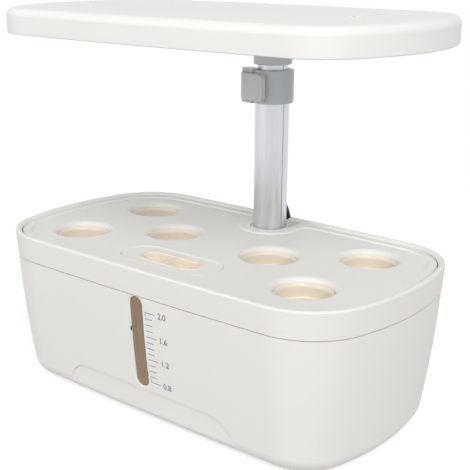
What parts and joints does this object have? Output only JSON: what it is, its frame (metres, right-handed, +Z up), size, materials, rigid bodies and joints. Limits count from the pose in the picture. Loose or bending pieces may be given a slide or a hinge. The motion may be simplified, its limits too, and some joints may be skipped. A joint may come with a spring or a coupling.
{
  "type": "countertop hydroponic garden",
  "caption": "Countertop hydroponic garden: oval water tank with a lift-out planting deck, net cups, a pump, and a flat grow lamp on a telescopic pole.",
  "frame": {"origin": "on the surface the garden stands on, under the middle of its bounding box", "axes": "+X along the tank's length to the right, +Y from the water window to the pole, +Z up"},
  "size_m": [0.2743, 0.2339, 0.2358],
  "materials": {
    "shell": "satin white moulding",
    "deck": "fine-grained light grey-white moulding",
    "cream": "smooth cream moulding",
    "tinted_window": "clear brown-tinted moulding",
    "rubber": "matt dark rubber",
    "pole": "drawn, satin anodised",
    "steel": "plated steel",
    "grey_plastic": "satin grey moulding",
    "light_board": "white solder mask on an aluminium board",
    "circuit": "green circuit board with parts",
    "diffuser": "milky sheet",
    "dark_plastic": "dark moulding",
    "cord": "soft black jacket",
    "pump": "dark grey moulding",
    "rotor": "light grey moulding round a magnet",
    "ceramic": "polished",
    "brass": "plated"
  },
  "bodies": {
    "tank": {"tank_tub": "shell", "rim_frame": "shell", "water_window": "tinted_window", "window_gasket": "rubber", "pole_socket": "shell", "pole_tube": "pole", "clamp_collar": "grey_plastic", "clamp_pin": "steel", "pump_housing": "pump", "pump_cover": "pump", "impeller_shaft": "ceramic", "pump_outlet": "pump", "pump_cord": "cord", "cord_boot": "dark_plastic", "power_cord": "cord", "cord_coil": "cord", "cord_tail": "cord", "adapter_boot": "dark_plastic", "adapter_body": "dark_plastic", "prong_1": "brass", "prong_2": "brass", "foot_1": "rubber", "suction_cup_1": "rubber", "foot_2": "rubber", "suction_cup_2": "rubber", "foot_3": "rubber", "suction_cup_3": "rubber", "foot_4": "rubber", "suction_cup_4": "rubber", "socket_screw_1": "steel", "socket_screw_2": "steel"},
    "lamp": {"inner_tube": "pole", "inner_tube_plug": "dark_plastic", "lamp_collar": "grey_plastic", "collar_screw_1": "steel", "collar_screw_2": "steel", "lamp_cover": "shell", "lamp_tray": "shell", "diffuser": "diffuser", "led_board": "light_board", "driver_board": "circuit", "lamp_screw_1": "steel", "lamp_screw_2": "steel", "lamp_screw_3": "steel", "lamp_screw_4": "steel"},
    "button": {"mode_button": "shell", "button_lens": "dark_plastic"},
    "lever": {"clamp_lever": "grey_plastic"},
    "planting_deck": {"deck": "deck"},
    "lid": {"filler_lid": "deck", "filler_grip": "cream"},
    "rotor": {"impeller": "rotor"},
    "cup_1": {"net_cup_1": "cream"},
    "cup_2": {"net_cup_2": "cream"},
    "cup_3": {"net_cup_3": "cream"},
    "cup_4": {"net_cup_4": "cream"},
    "cup_5": {"net_cup_5": "cream"},
    "cup_6": {"net_cup_6": "cream"}
  },
  "joints": [
    {"name": "lamp_height", "type": "slide", "parent": "tank", "child": "lamp", "axis": [0, 0, 1], "range_m": [-0.0025, 0.055]},
    {"name": "lever_turn", "type": "hinge", "parent": "tank", "child": "lever", "pos_m": [-0.01296, 0.04368, 0.1879], "axis": [0, 0, -1], "range_deg": [0, 110]},
    {"name": "button_press", "type": "slide", "parent": "lamp", "child": "button", "axis": [0, 0, -1], "range_m": [0, 0.0008], "stiffness_N_per_m": 500, "springref_m": -0.0006},
    {"name": "deck_lift", "type": "slide", "parent": "tank", "child": "planting_deck", "axis": [0, 0, 1], "range_m": [0, 0.06]},
    {"name": "lid_lift", "type": "slide", "parent": "planting_deck", "child": "lid", "axis": [0, 0, 1], "range_m": [0, 0.03]},
    {"name": "rotor_spin", "type": "hinge", "parent": "tank", "child": "rotor", "pos_m": [0.034, 0.008, 0.0187], "axis": [0, 1, 0], "continuous": true},
    {"name": "cup_1_lift", "type": "slide", "parent": "planting_deck", "child": "cup_1", "axis": [0, 0, 1], "range_m": [0, 0.055]},
    {"name": "cup_2_lift", "type": "slide", "parent": "planting_deck", "child": "cup_2", "axis": [0, 0, 1], "range_m": [0, 0.055]},
    {"name": "cup_3_lift", "type": "slide", "parent": "planting_deck", "child": "cup_3", "axis": [0, 0, 1], "range_m": [0, 0.055]},
    {"name": "cup_4_lift", "type": "slide", "parent": "planting_deck", "child": "cup_4", "axis": [0, 0, 1], "range_m": [0, 0.055]},
    {"name": "cup_5_lift", "type": "slide", "parent": "planting_deck", "child": "cup_5", "axis": [0, 0, 1], "range_m": [0, 0.055]},
    {"name": "cup_6_lift", "type": "slide", "parent": "planting_deck", "child": "cup_6", "axis": [0, 0, 1], "range_m": [0, 0.055]}
  ]
}
